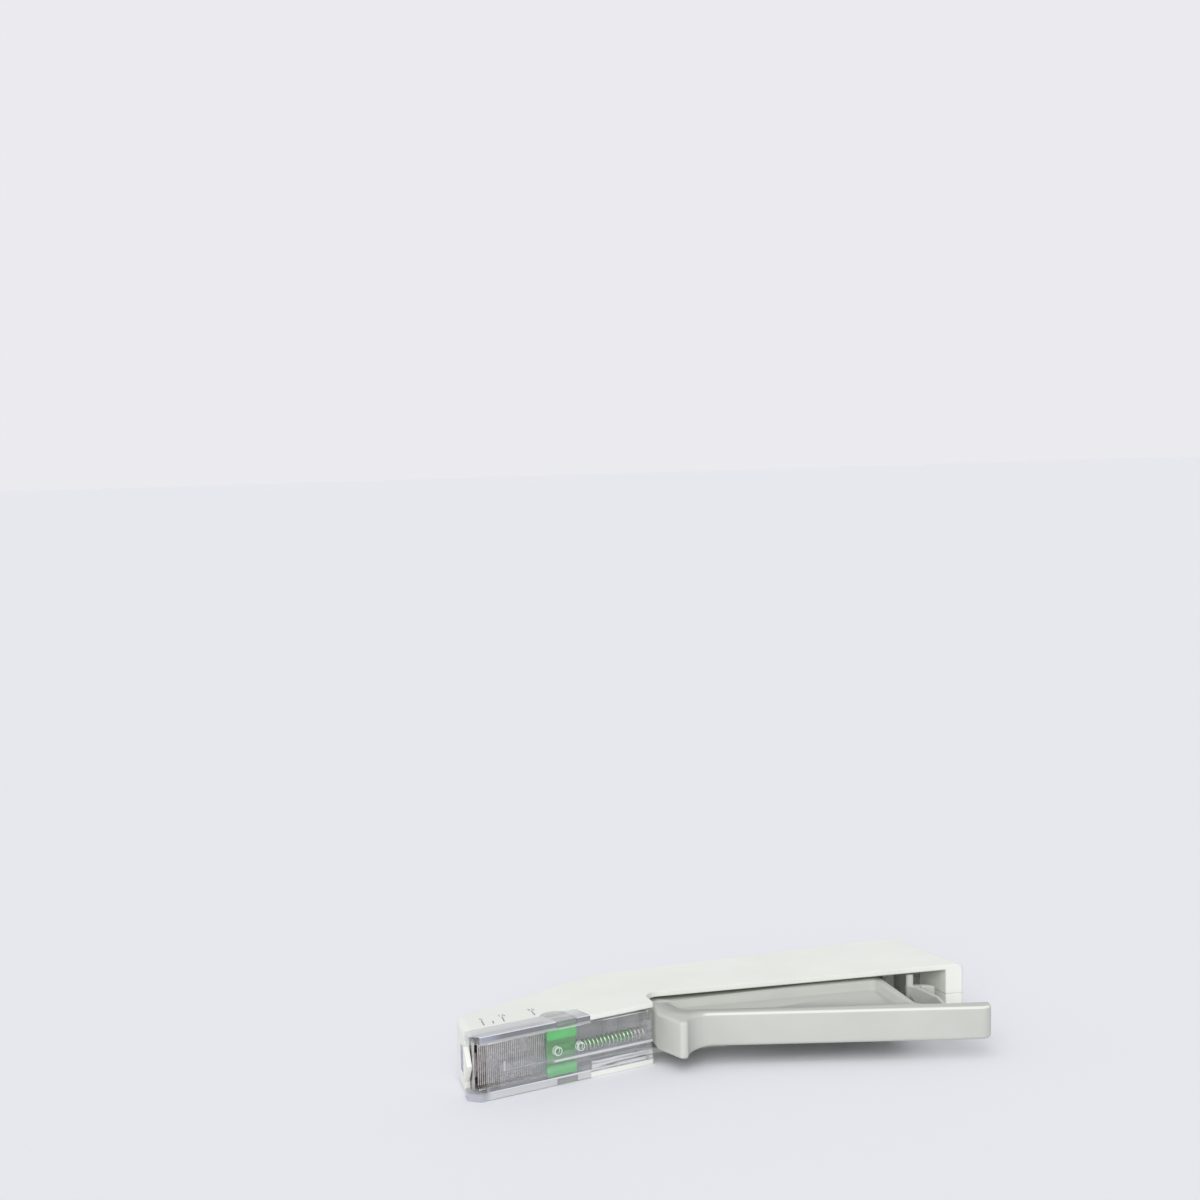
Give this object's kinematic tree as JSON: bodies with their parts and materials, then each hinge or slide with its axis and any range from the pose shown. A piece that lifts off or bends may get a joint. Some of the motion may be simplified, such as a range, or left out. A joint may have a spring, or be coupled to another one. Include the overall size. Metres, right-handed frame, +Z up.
{
  "type": "skin stapler",
  "caption": "Disposable surgical skin stapler: slim two-shell body, clear angled cartridge with green pusher at the nose and a squeeze trigger below.",
  "frame": {"origin": "middle of the bounding box at its underside: the table under the stapler's middle", "axes": "The stapler lies on its right side. +X runs along the body from nose to rear, parallel to the edge of the trigger slot, +Y is the stapler's own up, from trigger to ridge, +Z is up from the table through its thickness, towards its left side."},
  "size_m": [0.15, 0.0703, 0.0172],
  "materials": {
    "white_housing": "satin",
    "white_inner": "satin",
    "grey_trigger": "satin",
    "clear_plastic": "polished",
    "smoke_plastic": "polished",
    "green_plastic": "satin",
    "steel": "satin",
    "spring_steel": "satin",
    "staple_steel": "satin"
  },
  "bodies": {
    "housing": {"left_shell": "white_housing", "right_shell": "white_housing", "nose_guide": "steel", "cartridge_cover": "clear_plastic", "cartridge_base": "clear_plastic", "cartridge_clip": "smoke_plastic", "cartridge_pins": "steel", "anvil_plate": "steel", "ejector_spring": "spring_steel", "staple_stack": "staple_steel", "pusher_spring": "spring_steel", "spring_seat": "clear_plastic", "pivot_pin": "steel", "return_spring": "spring_steel"},
    "trigger": {"trigger": "grey_trigger", "drive_lever": "steel", "lever_rivets": "steel", "drive_pin": "steel"},
    "driver": {"driver_blade": "steel", "driver_carrier": "white_inner"},
    "pusher": {"staple_pusher": "green_plastic"}
  },
  "joints": [
    {"name": "trigger_hinge", "type": "hinge", "parent": "housing", "child": "trigger", "pos_m": [-0.04476, 0.00455, 0.0086], "axis": [0, 0, 1], "range_deg": [0, 12.5], "stiffness_Nm_per_rad": 1.2, "deforming": ["return_spring"]},
    {"name": "driver_slide", "type": "slide", "parent": "housing", "child": "driver", "axis": [-0.0867, -0.9962, 0], "range_m": [0, 0.00485]},
    {"name": "pusher_slide", "type": "slide", "parent": "housing", "child": "pusher", "axis": [-0.9478, -0.319, 0], "range_m": [0, 0.021], "deforming": ["pusher_spring", "staple_stack"]}
  ],
  "couplings": [
    {"joint": "driver_slide", "follows": "trigger_hinge", "m_per_rad": 0.022}
  ]
}
